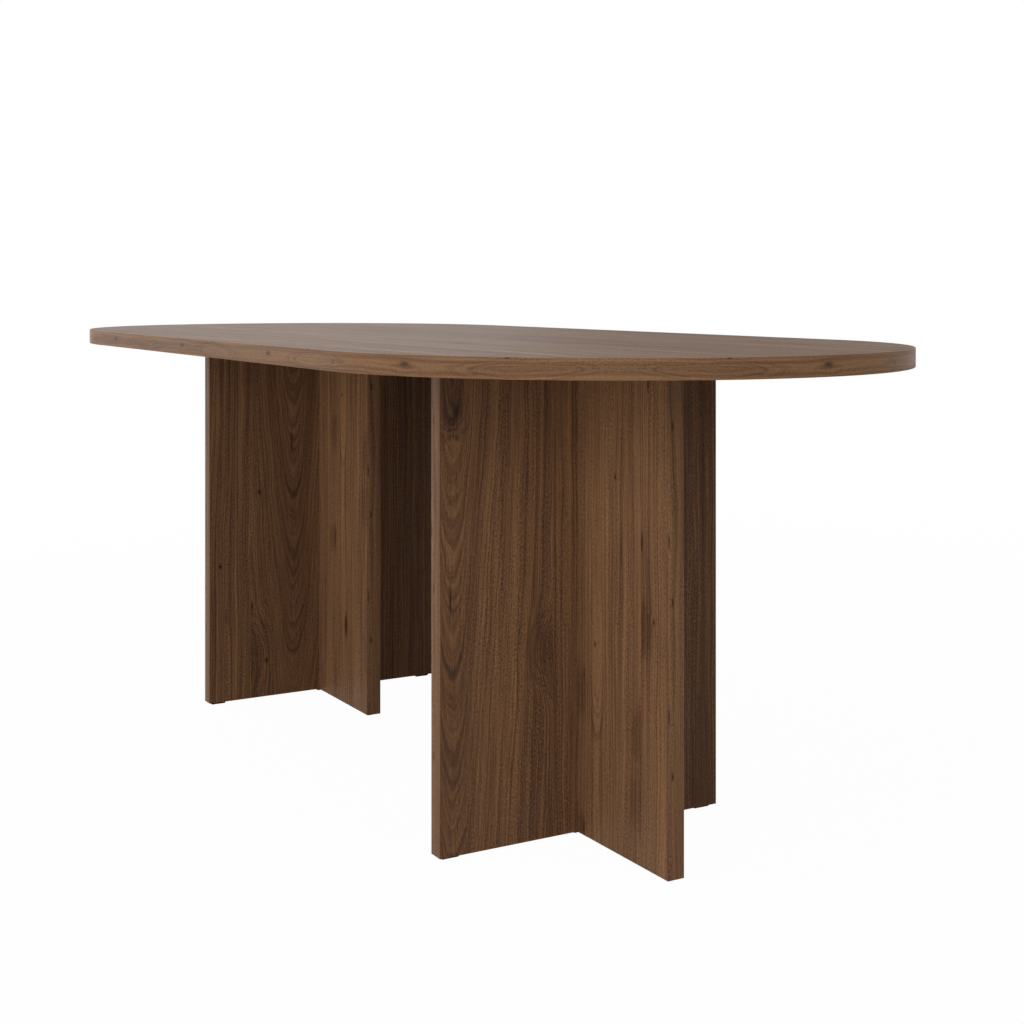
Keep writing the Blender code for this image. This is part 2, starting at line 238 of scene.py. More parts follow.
# Drawn marks: lines round swirls, arched growth rings, and stains with frayed ends.
SWIRL_LINE = 0.07
SWIRL_INK = 0.15
SWIRL_WINDOW = dict(drop=0.3, long=1.3, wide=1.6, fill=2.0)
ARCH_LINE = 0.0012
ARCH_REACH = 0.045
ARCH_FADE = 1.4
ARCH_INK = 0.10
STAIN_TINT = (0.60, 0.58, 0.63, 1.0)
STAIN_FILL = 2.4
STAIN_FRAY = 0.9
STAIN_CUT = 0.6

# The pressed surface is a little smoother where the print is pale, and follows its fibres and pores.
MELAMINE_ROUGHNESS = 0.52
PALE_SMOOTHNESS = 0.06
FIBRE_HEIGHT = 0.3


def swirl_window(place, swirl):
    """Where a swirl's drawn lines show: all round it, but only at the foot of an endless one."""
    drop = SWIRL_WINDOW["drop"] * swirl["long"] if swirl.get("endless") else 0.0
    seen = ellipse(place, swirl["along"] - drop, swirl["across"],
                   swirl["long"] * SWIRL_WINDOW["long"], swirl["wide"] * SWIRL_WINDOW["wide"])
    return clamp(seen * SWIRL_WINDOW["fill"])


def leaf_figure(place, leaf):
    """Growth rings and tone of one veneer leaf: arches about its axis that run out into straight grain."""
    along, across = place.split()[:2]
    off = across - leaf["axis"]
    lean = leaf["lean"] / (off * off / leaf["spread"] ** 2 + 1)
    rings = off.math("SQRT", off * off + leaf["depth"] ** 2) - along * lean
    tone = MIDDLE_TONE + leaf["tone"]
    for swirl in leaf.get("swirls", ()):
        rise = ellipse(place, **swirl)
        rings = rings + rise * swirl["lift"]
        window = swirl_window(place, swirl)
        for level in swirl["lines"]:
            line = clamp(1 - abs(rise - level) / SWIRL_LINE) * window
            tone = tone - line * swirl.get("ink", SWIRL_INK)
    for apex in leaf.get("arches", ()):
        level = leaf["depth"] - apex * leaf["lean"]
        line = clamp(1 - abs(rings - level) / ARCH_LINE)
        tone = tone - line * clamp(ARCH_FADE - abs(off) / ARCH_REACH) * ARCH_INK
    return rings, tone


def walnut(along, across, seed, leaves, contrast=1.0, tint=None, streaks_and_shade=(), calm=(), stains=(), knots=(),
           figure_along=None):
    """Colour, roughness and surface height of the printed walnut, by places on its sheet in metres.

    Where the large figure repeats and the fine grain doesn't, the figure has a length of its own."""
    place = sheet_place(along, across)
    figure = sheet_place(figure_along or along, across)
    drift = layered(place, seed, DRIFT)
    ripple = layered(place, seed, RIPPLE)
    warped = figure.node("ShaderNodeVectorMath", {"operation": "ADD"},
                         {0: figure, 1: sheet_place(ripple, drift)})
    rings, tone = leaf_figure(warped, leaves[0])
    for leaf in leaves[1:]:
        past_joint = across > leaf["joint"]
        leaf_rings, leaf_tone = leaf_figure(warped, leaf)
        rings = rings + (leaf_rings - rings) * past_joint
        tone = tone + (leaf_tone - tone) * past_joint

    ring_place = sheet_place(along, rings)
    fibre_place = sheet_place(along, across + drift)
    long_fibre = noise(fibre_place, seed, **LONG_FIBRE)
    short_fibre = noise(fibre_place, seed, **SHORT_FIBRE)
    grain = layered(ring_place, seed, RING_GRAIN)
    grain = grain + long_fibre * LONG_FIBRE["weight"] + short_fibre * SHORT_FIBRE["weight"]
    zone = noise(fibre_place, seed, **SPECKLE_ZONE) * SPECKLE_ZONE["weight"] + SPECKLE_ZONE["middle"]
    zone = clamp(zone, SPECKLE_ZONE["least"])
    for area in calm:
        zone = zone * (1 - ellipse(figure, **area) * CALM_SHARE)
    grain = grain + noise(fibre_place, seed, **SPECKLE) * zone * SPECKLE["weight"]
    vein = clamp(1 - abs(noise(ring_place, seed, **VEIN)) * VEIN["thin"])
    tone = tone + (grain - vein * VEIN["weight"]) * contrast
    # Streaks shift the tone: most are printed grain, but two broad dark ones on the cross panels are painted
    # shade.
    for tone_patch in streaks_and_shade:
        tone = tone + ellipse(figure, **tone_patch) * tone_patch["tone"]

    stops = [(at, WALNUT[name]) for at, name in WALNUT_TONES]
    colour = tone.node("ShaderNodeValToRGB", {"stops": stops}, {"Fac": tone})
    if tint:
        colour = colour.node("ShaderNodeVectorMath", {"operation": "MULTIPLY"}, {0: colour, 1: tint})
    for stain in stains:
        soaked = ellipse(warped, **stain) * STAIN_FILL + short_fibre * STAIN_FRAY - STAIN_CUT
        share = clamp(soaked) * stain["strength"]
        if "joint" in stain:
            share = share * ((across - stain["joint"]) * stain["side"] > 0)
        colour = mix_colour(share, colour, STAIN_TINT, "MULTIPLY")
    for knot in knots:
        colour = mix_colour(clamp(ellipse(figure, **knot) * knot["strength"]), colour, WALNUT["knot"])
    pores = clamp(noise(fibre_place, seed, **PORES) * PORES["spread"] - PORES["cut"])
    colour = mix_colour(pores * PORES["ink"], colour, WALNUT["deep"])
    roughness = MELAMINE_ROUGHNESS + pores * PORES["roughness"] - tone * PALE_SMOOTHNESS
    height = short_fibre * FIBRE_HEIGHT - pores
    return colour, roughness, height


FLAKES_PER_METRE = 330.0
FLAKE_COLOURS = [(0.0, paint(120, 92, 62)), (0.5, paint(176, 144, 104)), (1.0, paint(208, 182, 142))]


def chipboard(place):
    """Colour and surface height of the bare core: glued flakes of pale wood."""
    flakes = place.node("ShaderNodeTexVoronoi", inputs={"Vector": place, "Scale": FLAKES_PER_METRE},
                        output="Color")
    tone = flakes.split()[0]
    return tone.node("ShaderNodeValToRGB", {"stops": FLAKE_COLOURS}, {"Fac": tone}), tone


X, Y, Z = range(3)


def middle_and_half(solid, axis):
    """Where a solid's middle lies along an axis, and half its size there."""
    low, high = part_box(solid)
    return (low[axis] + high[axis]) / 2, (high[axis] - low[axis]) / 2


# The pressed decor's thickness and depth of relief in metres, its weak gloss, the rougher core, and
# how much further along the sheet a board's back face is cut.
DECOR_SKIN = 0.0004
DECOR_RELIEF = 0.00006
MELAMINE_IOR = 1.15
CORE_ROUGHNESS = 0.3
CORE_RELIEF = 3.0
BACK_SHIFT = 1.9


def board_material(name, board, axes, sheet, cut, front=1, dull=0.0, ior=MELAMINE_IOR):
    """A board's finish: decor on its two faces and bare core on everything between them.

    The axes run along the grain, across it and through the board. The cut is where the sheet's zero
    point lies on the table."""
    along_axis, across_axis, thick_axis = axes
    middle, half_thick = middle_and_half(board, thick_axis)
    material, place = start_material(name)
    parts = place.split()
    thick = (parts[thick_axis] - middle) * front
    along = parts[along_axis] - cut["along"] + (thick < 0) * BACK_SHIFT
    across = parts[across_axis] - cut["across"]
    colour, roughness, height = walnut(along, across, **sheet)
    core, flakes = chipboard(place)
    inside = abs(thick) < half_thick - DECOR_SKIN
    colour = mix_colour(inside, colour, core)
    roughness = roughness + dull + inside * CORE_ROUGHNESS
    height = height + inside * flakes * CORE_RELIEF
    close_material(colour, roughness, height, DECOR_RELIEF, IOR=ior)
    return material


def dress(node, finish):
    """Gives a solid of the frame its finish."""
    node.data.materials.clear()
    node.data.materials.append(finish)


# A sheet has veneer leaves side by side, each from its joint on, with marks over them. Along and
# across are metres on the sheet, and a tone or an ink is a step between dark and light.
CROSS_AXES = (Z, Y, X)
CROSS_SHEET = dict(
    seed=4.0,
    leaves=[
        dict(axis=-0.56, depth=0.05, lean=0.02, spread=0.2, tone=0.02),
        dict(joint=-0.321, axis=-0.231, depth=0.02, lean=0.18, spread=0.07, tone=0.0,
             arches=(0.5435, 0.4691, 0.3068, 0.2674, 0.2249, 0.2076, 0.1565, 0.0841, 0.0334),
             swirls=[
                 dict(along=0.655, across=-0.233, long=0.11, wide=0.070, lift=-0.010, endless=True,
                      lines=(0.12, 0.36, 0.60, 0.82)),
                 dict(along=0.290, across=-0.050, long=0.200, wide=0.150, lift=0.040,
                      lines=(0.24, 0.42, 0.60, 0.76, 0.90), ink=0.11),
                 dict(along=-0.060, across=-0.330, long=0.320, wide=0.170, lift=0.045,
                      lines=(0.30, 0.50, 0.68, 0.86)),
             ]),
        dict(joint=-0.058, axis=-0.40, depth=0.05, lean=0.01, spread=0.2, tone=-0.03),
    ],
    streaks_and_shade=[
        dict(along=0.670, across=-0.226, long=0.13, wide=0.050, tone=-0.13),
        # Painted shade: a broad dark patch over the half of each cross panel on the wing's far side, where
        # the wing and the top shade it.
        dict(along=0.36, across=0.17, long=4.0, wide=0.34, tone=-0.16),
        dict(along=0.36, across=-0.155, long=1.2, wide=0.016, tone=0.14),
        dict(along=0.36, across=-0.124, long=1.2, wide=0.014, tone=0.12),
        dict(along=0.36, across=-0.350, long=2.4, wide=0.060, tone=0.06),
        dict(along=0.36, across=-0.268, long=2.4, wide=0.050, tone=0.08),
        dict(along=0.36, across=-0.182, long=2.4, wide=0.060, tone=0.10),
        dict(along=0.36, across=-0.080, long=1.2, wide=0.030, tone=-0.06),
        dict(along=0.08, across=-0.074, long=0.50, wide=0.050, tone=-0.10),
        dict(along=0.36, across=-0.038, long=2.4, wide=0.090, tone=0.13),
        # Painted shade: darker beside the wing joint and towards the top of the panel, under the top's
        # overhang.
        dict(along=0.60, across=0.045, long=0.70, wide=0.120, tone=-0.16),
    ],
    calm=[dict(along=0.25, across=-0.235, long=3.0, wide=0.17)],
    stains=[
        dict(along=0.295, across=-0.058, long=0.19, wide=0.120, joint=-0.058, side=-1, strength=0.45),
        dict(along=-0.05, across=-0.316, long=0.30, wide=0.100, joint=-0.321, side=1, strength=0.3),
    ],
    knots=[
        dict(along=0.655, across=-0.224, long=0.034, wide=0.018, strength=0.85),
        dict(along=0.380, across=-0.233, long=0.085, wide=0.006, strength=0.9),
        dict(along=0.281, across=-0.303, long=0.018, wide=0.010, strength=1.0),
        dict(along=0.290, across=-0.303, long=0.180, wide=0.003, strength=0.5),
        dict(along=0.136, across=-0.386, long=0.018, wide=0.011, strength=1.0),
        dict(along=0.050, across=-0.319, long=0.034, wide=0.010, strength=0.8),
        dict(along=0.033, across=-0.374, long=0.060, wide=0.006, strength=0.6),
        dict(along=-0.062, across=-0.288, long=0.020, wide=0.011, strength=1.0),
    ],
)
for pedestal, cut in (("right", dict(along=0.0, across=0.0)),
                      ("left", dict(along=0.14, across=0.158))):
    panel = pedestal + "_cross_panel"
    dress(nodes[panel], board_material(pedestal + "_cross_walnut", panel, CROSS_AXES, CROSS_SHEET, cut))


# Wings: the two half boards of each pedestal, of the same faced chipboard as the cross panels.
# Each is butted to the middle of a cross panel, lined up on dowels and drawn tight by two cams.
WING_AXES = (Z, X, Y)
WING_SHEET = dict(
    seed=21.0,
    leaves=[
        dict(axis=0.0686, depth=0.006, lean=0.0, spread=0.2, tone=0.10,
             swirls=[dict(along=0.27, across=0.0686, long=0.24, wide=0.050, lift=-0.010, endless=True,
                          lines=(0.06, 0.28, 0.62), ink=0.24)]),
        dict(joint=0.184, axis=-0.05, depth=0.05, lean=0.01, spread=0.2, tone=0.08),
    ],
    streaks_and_shade=[
        dict(along=0.36, across=0.240, long=2.4, wide=0.040, tone=0.10),
        dict(along=0.28, across=0.0686, long=0.20, wide=0.030, tone=0.08),
    ],
    stains=[
        dict(along=0.420, across=0.188, long=0.28, wide=0.070, joint=0.184, side=1, strength=0.5),
        dict(along=0.345, across=0.190, long=0.16, wide=0.095, joint=0.184, side=1, strength=0.9),
        dict(along=0.190, across=0.182, long=0.17, wide=0.085, joint=0.184, side=-1, strength=0.8),
        dict(along=0.090, across=0.182, long=0.17, wide=0.085, joint=0.184, side=-1, strength=0.8),
        dict(along=0.225, across=0.024, long=0.14, wide=0.060, strength=0.65),
        dict(along=0.010, across=0.024, long=0.10, wide=0.060, strength=0.7),
    ],
    knots=[
        dict(along=0.557, across=0.117, long=0.015, wide=0.009, strength=0.9),
        dict(along=0.301, across=0.063, long=0.015, wide=0.009, strength=0.9),
        dict(along=0.361, across=0.216, long=0.015, wide=0.009, strength=0.9),
        dict(along=0.471, across=0.186, long=0.050, wide=0.008, strength=1.0),
        dict(along=0.452, across=0.133, long=0.080, wide=0.006, strength=0.8),
        dict(along=0.697, across=0.201, long=0.040, wide=0.007, strength=0.9),
        dict(along=0.250, across=0.033, long=0.040, wide=0.008, strength=0.7),
        dict(along=0.012, across=0.032, long=0.060, wide=0.010, strength=0.7),
        dict(along=-0.158, across=0.083, long=0.080, wide=0.024, strength=1.0),
    ],
)
for wing, contrast, cut in (("right_outer_wing", 0.95, dict(along=0.0, across=0.498)),
                            ("left_inner_wing", 1.35, dict(along=0.319, across=-0.432)),
                            ("right_inner_wing", 1.0, dict(along=0.9, across=0.248)),
                            ("left_outer_wing", 1.0, dict(along=1.5, across=-0.7))):
    sheet = dict(WING_SHEET, contrast=contrast)
    dress(nodes[wing], board_material(wing + "_walnut", wing, WING_AXES, sheet, cut, front=-1))


# Panel edge bands: strips of plastic with the walnut print, glued to the upright edges of the
# panels by machine and scraped flush, so that their long arrises are slightly round.
BAND_ARRIS = 0.0007
BAND_ARRIS_STEPS = 3
BAND_IOR = 1.18
# Both arrises of each strip are drawn darker, in this colour and by this share.
BAND_ARRIS_DARK = paint(72, 52, 40)
BAND_ARRIS_DARK_SHARE = 0.6
ARRIS_LINE_REACH = 0.0009
SMOOTH_ANGLE = math.radians(35)
BAND_SHEET = dict(
    seed=33.0,
    contrast=0.8,
    leaves=[dict(axis=-0.06, depth=0.02, lean=0.0, spread=0.2, tone=0.03)],
    knots=[
        dict(along=0.641, across=-0.006, long=0.022, wide=0.007, strength=0.9),
        dict(along=0.394, across=-0.006, long=0.022, wide=0.007, strength=0.9),
        dict(along=0.235, across=-0.012, long=0.040, wide=0.006, strength=0.8),
        dict(along=0.480, across=-0.012, long=0.040, wide=0.006, strength=0.8),
        dict(along=0.150, across=-0.006, long=0.022, wide=0.007, strength=0.9),
    ],
)


def arris_line_and_highlight(colour, across, half_wide, bare, share):
    """Mixes a colour into a band along both arrises, by a share: a darker line on the panel strips, and on
    the top's band a paler line that is partly a painted highlight.
    """
    near_arris = clamp((across - (half_wide - ARRIS_LINE_REACH)) / ARRIS_LINE_REACH)
    return mix_colour(near_arris * share, colour, bare)


def band_material(name, band, wide_axis):
    """A strip's finish: the print runs up it, and it is darker along both arrises."""
    middle, half_wide = middle_and_half(band, wide_axis)
    material, place = start_material(name)
    parts = place.split()
    across = parts[wide_axis] - middle
    colour, roughness, height = walnut(parts[Z], across, **BAND_SHEET)
    colour = arris_line_and_highlight(colour, abs(across), half_wide, BAND_ARRIS_DARK, BAND_ARRIS_DARK_SHARE)
    close_material(colour, roughness, height, DECOR_RELIEF, IOR=BAND_IOR)
    return material


def new_piece(name, build, finish, replaced):
    """A piece of the table from a function that fills its mesh, in place of a solid of the frame."""
    mesh = bpy.data.meshes.new(name)
    shape = bmesh.new()
    build(shape)
    bmesh.ops.recalc_face_normals(shape, faces=shape.faces)
    shape.to_mesh(mesh)
    shape.free()
    mesh.shade_smooth()
    mesh.set_sharp_from_angle(angle=SMOOTH_ANGLE)
    mesh.materials.append(finish)
    piece = bpy.data.objects.new(name, mesh)
    bpy.context.scene.collection.objects.link(piece)
    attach(piece, "root")
    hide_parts(replaced)


def sweep(shape, rings, closed=False):
    """Joins rings of points into a skin that ends in two faces, or runs on into its first ring."""
    rows = [[shape.verts.new(point) for point in ring] for ring in rings]
    count = len(rows[0])
    following = rows[1:] + rows[:1] if closed else rows[1:]
    for row, after in zip(rows, following):
        for step in range(count):
            beside = (step + 1) % count
            shape.faces.new((row[step], row[beside], after[beside], after[step]))
    if not closed:
        shape.faces.new(rows[0][::-1])
        shape.faces.new(rows[-1])


def band_outline(thick, half_wide):
    """A strip's section: flat where it is glued, with two round arrises outside."""
    outline = [(0.0, -half_wide)]
    for step in range(BAND_ARRIS_STEPS + 1):
        turn = math.pi / 2 * step / BAND_ARRIS_STEPS
        out = thick - BAND_ARRIS * (1 - math.sin(turn))
        outline.append((out, BAND_ARRIS * (1 - math.cos(turn)) - half_wide))
    outline += [(out, -wide) for out, wide in reversed(outline)]
    return outline


def panel_band(name, finish, out_axis, board):
    """A strip that closes the glue line between its board and its own outer face."""
    low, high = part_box(name)
    wide_axis = Y if out_axis == X else X
    middle, half_wide = middle_and_half(name, wide_axis)
    board_middle, board_half = middle_and_half(board, out_axis)
    side = 1 if low[out_axis] > board_middle else -1
    glued = board_middle + side * board_half
    outer = high[out_axis] if side > 0 else low[out_axis]
    section = band_outline(abs(outer - glued), half_wide)

    def build(shape):
        rings = []
        for level in (low.z, high.z):
            ring = []
            for out, wide in section:
                point = [0.0, 0.0, level]
                point[out_axis] = glued + out * side
                point[wide_axis] = middle + wide
                ring.append(point)
            rings.append(ring)
        sweep(shape, rings)

    new_piece(name + "_strip", build, finish, name)


wing_walnut = band_material("wing_band_walnut", "right_outer_wing_edge_band", Y)
for pedestal in ("right", "left"):
    cross = pedestal + "_cross"
    cross_walnut = band_material(cross + "_band_walnut", cross + "_front_edge_band", X)
    for end in ("front", "rear"):
        panel_band(f"{cross}_{end}_edge_band", cross_walnut, Y, cross + "_panel")
    for side in ("outer", "inner"):
        wing = f"{pedestal}_{side}_wing"
        panel_band(wing + "_edge_band", wing_walnut, X, wing)


# Foot pads: small blocks of black moulded plastic under the panels, each with two pins pressed
# into holes in the bottom edge. They keep the bare edges off the floor.
FOOT_BLACK = paint(5, 5, 5)
FOOT_SCUFFED = paint(13, 13, 13)
FOOT_TEXTURE = dict(per_metre=2600.0, detail=2.0)
FOOT_SCUFFS = dict(per_metre=180.0, detail=3.0)
FOOT_ROUGHNESS = 0.6
SCUFF_ROUGHNESS = 0.2
FOOT_RELIEF = 0.00004
FOOT_IOR = 1.1


def mottle(place, per_metre, detail):
    """Noise from 0 to 1 all through a solid, with about that many spots to the metre."""
    return place.node("ShaderNodeTexNoise", inputs={"Vector": place, "Scale": per_metre, "Detail": detail})


def foot_material():
    """Fine-textured black plastic, a little grey and dull where it is scuffed."""
    material, place = start_material("foot_black_plastic")
    texture = mottle(place, **FOOT_TEXTURE)
    scuffs = mottle(place, **FOOT_SCUFFS)
    colour = mix_colour(scuffs, FOOT_BLACK, FOOT_SCUFFED)
    close_material(colour, FOOT_ROUGHNESS + scuffs * SCUFF_ROUGHNESS, texture, FOOT_RELIEF, IOR=FOOT_IOR)
    return material


foot_plastic = foot_material()
for name, node in nodes.items():
    if name.endswith("_foot"):
        dress(node, foot_plastic)


# Cams, bolts and dowels: zinc cams turned tight in blind bores, plated steel bolts that they pull
# on, and beech dowels that line the wings up. Only the cams' faces show, on the sides away from view.
METAL_TEXTURE = dict(per_metre=900.0, detail=3.0)
METAL_CLOUDS = dict(per_metre=240.0, detail=2.0)
METAL_UNEVEN = 0.3
METAL_RELIEF = 0.00003
MIDDLE_OF_MOTTLE = 0.5
ZINC = dict(dull=paint(150, 152, 156), bright=paint(196, 198, 202), roughness=0.42)
PLATED_STEEL = dict(dull=paint(160, 162, 168), bright=paint(206, 208, 212), roughness=0.3)
BEECH_DARK = paint(176, 132, 88)
BEECH_PALE = paint(222, 188, 142)
BEECH_FLECKS = dict(sheet_seed=0, seed=3, long=0.012, wide=0.0008, detail=2.0)
BEECH_MIDDLE = 0.5
BEECH_SPREAD = 0.5
BEECH_ROUGHNESS = 0.6
FLECK_ROUGHNESS = 0.05
BEECH_RELIEF = 0.00005


def metal_material(name, dull, bright, roughness):
    """Cast or plated metal, cloudy in its colour and finely uneven in its gloss."""
    material, place = start_material(name)
    texture = mottle(place, **METAL_TEXTURE)
    clouds = mottle(place, **METAL_CLOUDS)
    colour = mix_colour(clouds, dull, bright)
    uneven = roughness + (texture - MIDDLE_OF_MOTTLE) * METAL_UNEVEN
    close_material(colour, uneven, texture, METAL_RELIEF, Metallic=1.0)
    return material


def dowel_material():
    """Pale beech with short flecks along the dowel."""
    material, place = start_material("beech_dowel")
    along, across, up = place.split()
    flecks = noise(sheet_place(along, across + up), **BEECH_FLECKS)
    colour = mix_colour(clamp(flecks * BEECH_SPREAD + BEECH_MIDDLE), BEECH_DARK, BEECH_PALE)
    close_material(colour, BEECH_ROUGHNESS + flecks * FLECK_ROUGHNESS, flecks, BEECH_RELIEF)
    return material


cam_zinc = metal_material("cam_zinc", **ZINC)
bolt_steel = metal_material("bolt_plated_steel", **PLATED_STEEL)
beech = dowel_material()
for name, node in nodes.items():
    for ending, finish in (("_cam", cam_zinc), ("_bolt", bolt_steel), ("_dowel", beech)):
        if name.endswith(ending):
            dress(node, finish)


# Top board: one piece of 28 mm faced chipboard, sawn and milled to a racetrack, two straight sides
# with a half round at each end. The grain of its decor runs along the table.
TOP_AXES = (X, Y, Z)
TOP_ARC_STEPS = 96
TOP_BAND_THICK = 0.002
TOP_DULL = 0.07
TOP_IOR = 1.2
top_low, top_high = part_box("tabletop_edge_band")
top_middle, top_half_thick = middle_and_half("tabletop_edge_band", Z)
top_radius = (top_high.y - top_low.y) / 2
top_straight = (top_high.x - top_low.x) / 2 - top_radius
TOP_SHEET = dict(
    seed=52.0,
    leaves=[
        dict(axis=-0.60, depth=0.05, lean=0.015, spread=0.3, tone=0.0),
        dict(joint=-0.27, axis=-0.16, depth=0.03, lean=0.03, spread=0.10, tone=0.04),
        dict(joint=-0.05, axis=-0.30, depth=0.05, lean=0.01, spread=0.2, tone=-0.03),
        dict(joint=0.16, axis=0.26, depth=0.03, lean=-0.03, spread=0.10, tone=0.02),
    ],
    tint=(1.03, 1.06, 1.02),
    stains=[
        dict(along=-0.27, across=0.02, long=0.40, wide=0.020, strength=0.8),
        dict(along=0.23, across=0.03, long=0.50, wide=0.024, strength=0.8),
        dict(along=0.52, across=-0.35, long=0.35, wide=0.030, strength=0.8),
        dict(along=0.72, across=-0.08, long=0.50, wide=0.030, strength=0.8),
    ],
)


def racetrack(radius, level):
    """The outline of the top at a radius and a height, from the end of its front straight on."""
    points = []
    for side in (1, -1):
        for step in range(TOP_ARC_STEPS + 1):
            turn = math.pi * step / TOP_ARC_STEPS
            x = top_straight + radius * math.sin(turn)
            y = -radius * math.cos(turn)
            points.append((side * x, side * y, level))
    return points


def build_top_board(shape):
    radius = top_radius - TOP_BAND_THICK
    sweep(shape, [racetrack(radius, top_low.z), racetrack(radius, top_high.z)])


top_walnut = board_material("top_walnut", "tabletop_board", TOP_AXES, TOP_SHEET, dict(along=0.0, across=0.0),
                            dull=TOP_DULL, ior=TOP_IOR)
new_piece("tabletop_board_faced", build_top_board, top_walnut, "tabletop_board")


# Top edge band: 2 mm plastic with the walnut print along it, glued right round the top in one
# length, trimmed flush and rounded. The print repeats, with a knot and a long eye in each repeat.
TOP_ARRIS = 0.0012
TOP_ARRIS_STEPS = 4
# Paler along both arrises of the top band: partly the paler trimmed plastic, partly a painted highlight
# where the round arrises catch light.
TOP_BAND_ARRIS_PALE_AND_HIGHLIGHT = paint(176, 140, 108)
TOP_BAND_ARRIS_SHARE = 0.5

# In metres walked along the band: how often the print repeats, the place from which it runs both
# ways, and the place of one of its knots.
PRINT_REPEAT = 0.395
PRINT_MIRROR = 1.03
PRINT_KNOT = 0.346
TOP_BAND_SHEET = dict(
    seed=71.0,
    contrast=0.6,
    tint=(1.01, 1.05, 1.05),
    leaves=[
        dict(axis=-0.001, depth=0.004, lean=0.0, spread=0.2, tone=0.14,
             swirls=[
                 dict(along=0.168, across=-0.003, long=0.22, wide=0.028, lift=-0.0035,
                      lines=(0.06, 0.30), ink=0.20),
                 dict(along=0.245, across=-0.002, long=0.055, wide=0.022, lift=-0.002,
                      lines=(0.15, 0.55), ink=-0.08),
                 dict(along=0.0, across=-0.004, long=0.062, wide=0.020, lift=-0.003,
                      lines=(0.15,), ink=0.16),
                 dict(along=PRINT_REPEAT, across=-0.004, long=0.062, wide=0.020, lift=-0.003,
                      lines=(0.15,), ink=0.16),
             ]),
    ],
    knots=[
        dict(along=0.0, across=0.002, long=0.030, wide=0.012, strength=0.75),
        dict(along=PRINT_REPEAT, across=0.002, long=0.030, wide=0.012, strength=0.75),
        dict(along=0.150, across=0.013, long=0.012, wide=0.005, strength=0.9),
        dict(along=0.234, across=-0.008, long=0.006, wide=0.004, strength=0.4),
    ],
)


def top_band_material():
    """The band's finish, by the way walked along it from the middle of the front straight.

    The print runs both ways from one place on the right-hand half round, and its large figure repeats."""
    material, place = start_material("top_band_walnut")
    x, y, z = place.split()
    straight = clamp(x, -top_straight, top_straight)
    turn = x.math("ARCTAN2", x - straight, abs(y))
    half_way = 2 * top_straight + math.pi * top_radius
    walked = straight + turn * top_radius
    walked = walked + (half_way - 2 * walked) * (y > 0)
    printed = PRINT_MIRROR - PRINT_KNOT - walked.math("PINGPONG", walked - PRINT_MIRROR, half_way)
    repeated = printed.math("FLOORED_MODULO", printed, PRINT_REPEAT)
    across = z - top_middle
    colour, roughness, height = walnut(printed, across, figure_along=repeated, **TOP_BAND_SHEET)
    # Painted highlight, with paler trimmed plastic, along both arrises of the band.
    colour = arris_line_and_highlight(colour, across, top_half_thick, TOP_BAND_ARRIS_PALE_AND_HIGHLIGHT, TOP_BAND_ARRIS_SHARE)
    close_material(colour, roughness, height, DECOR_RELIEF, IOR=BAND_IOR)
    return material


def build_top_band(shape):
    inner = top_radius - TOP_BAND_THICK
    corner = top_radius - TOP_ARRIS
    section = [(inner, top_low.z)]
    for level, first_turn in ((top_low.z + TOP_ARRIS, -math.pi / 2), (top_high.z - TOP_ARRIS, 0.0)):
        for step in range(TOP_ARRIS_STEPS + 1):
            turn = first_turn + math.pi / 2 * step / TOP_ARRIS_STEPS
            section.append((corner + TOP_ARRIS * math.cos(turn), level + TOP_ARRIS * math.sin(turn)))
    section.append((inner, top_high.z))
    sweep(shape, [racetrack(radius, level) for radius, level in section], closed=True)


new_piece("tabletop_edge_banding", build_top_band, top_band_material(), "tabletop_edge_band")


# Studio: a floor of white paper that keeps a faint shadow, a white surround with a weak dome of
# light, and eight large soft lamps: two at the front, two at the front left, one above, three behind.
FLOOR_REACH = 40.0
FLOOR_CORNERS = ((-1, -1), (1, -1), (1, 1), (-1, 1))
FLOOR_PAPER = (0.85, 0.85, 0.85, 1.0)
WHITE = (1.0, 1.0, 1.0, 1.0)
SHADOW_REACH = 5.0
SHADOW_SHARE = 0.02
DOME_LEVEL = 0.02
LAMP_WIDE = 3.5
LAMP_TALL = 3.0
LAMP_DISTANCE = 4.5
LAMP_AIM = Vector((0.0, 0.0, 0.4))

# A lamp's bearing is in degrees from the table's right end towards its back, and its rise in degrees
# from the floor. A white card that faces it at the aim shows about its level.
LAMPS = [
    dict(name="front_lamp", bearing=-80, rise=8, level=0.485),
    dict(name="side_lamp", bearing=-30, rise=10, level=0.295),
    dict(name="left_lamp", bearing=-145, rise=10, level=0.135),
    dict(name="high_left_lamp", bearing=-130, rise=50, level=0.21),
    dict(name="top_lamp", bearing=-90, rise=89, level=0.05),
    dict(name="rear_right_lamp", bearing=12, rise=30, level=0.23),
    dict(name="rear_left_lamp", bearing=168, rise=12, level=0.20),
    dict(name="back_lamp", bearing=100, rise=16, level=0.05),
]


def seen_directly(field):
    """1 on rays that show the surround itself: to the camera, in a gloss or through glass."""
    camera_ray, glossy_ray, glass_ray = [
        field.node("ShaderNodeLightPath", output=kind)
        for kind in ("Is Camera Ray", "Is Glossy Ray", "Is Transmission Ray")]
    return clamp(camera_ray + glossy_ray + glass_ray)


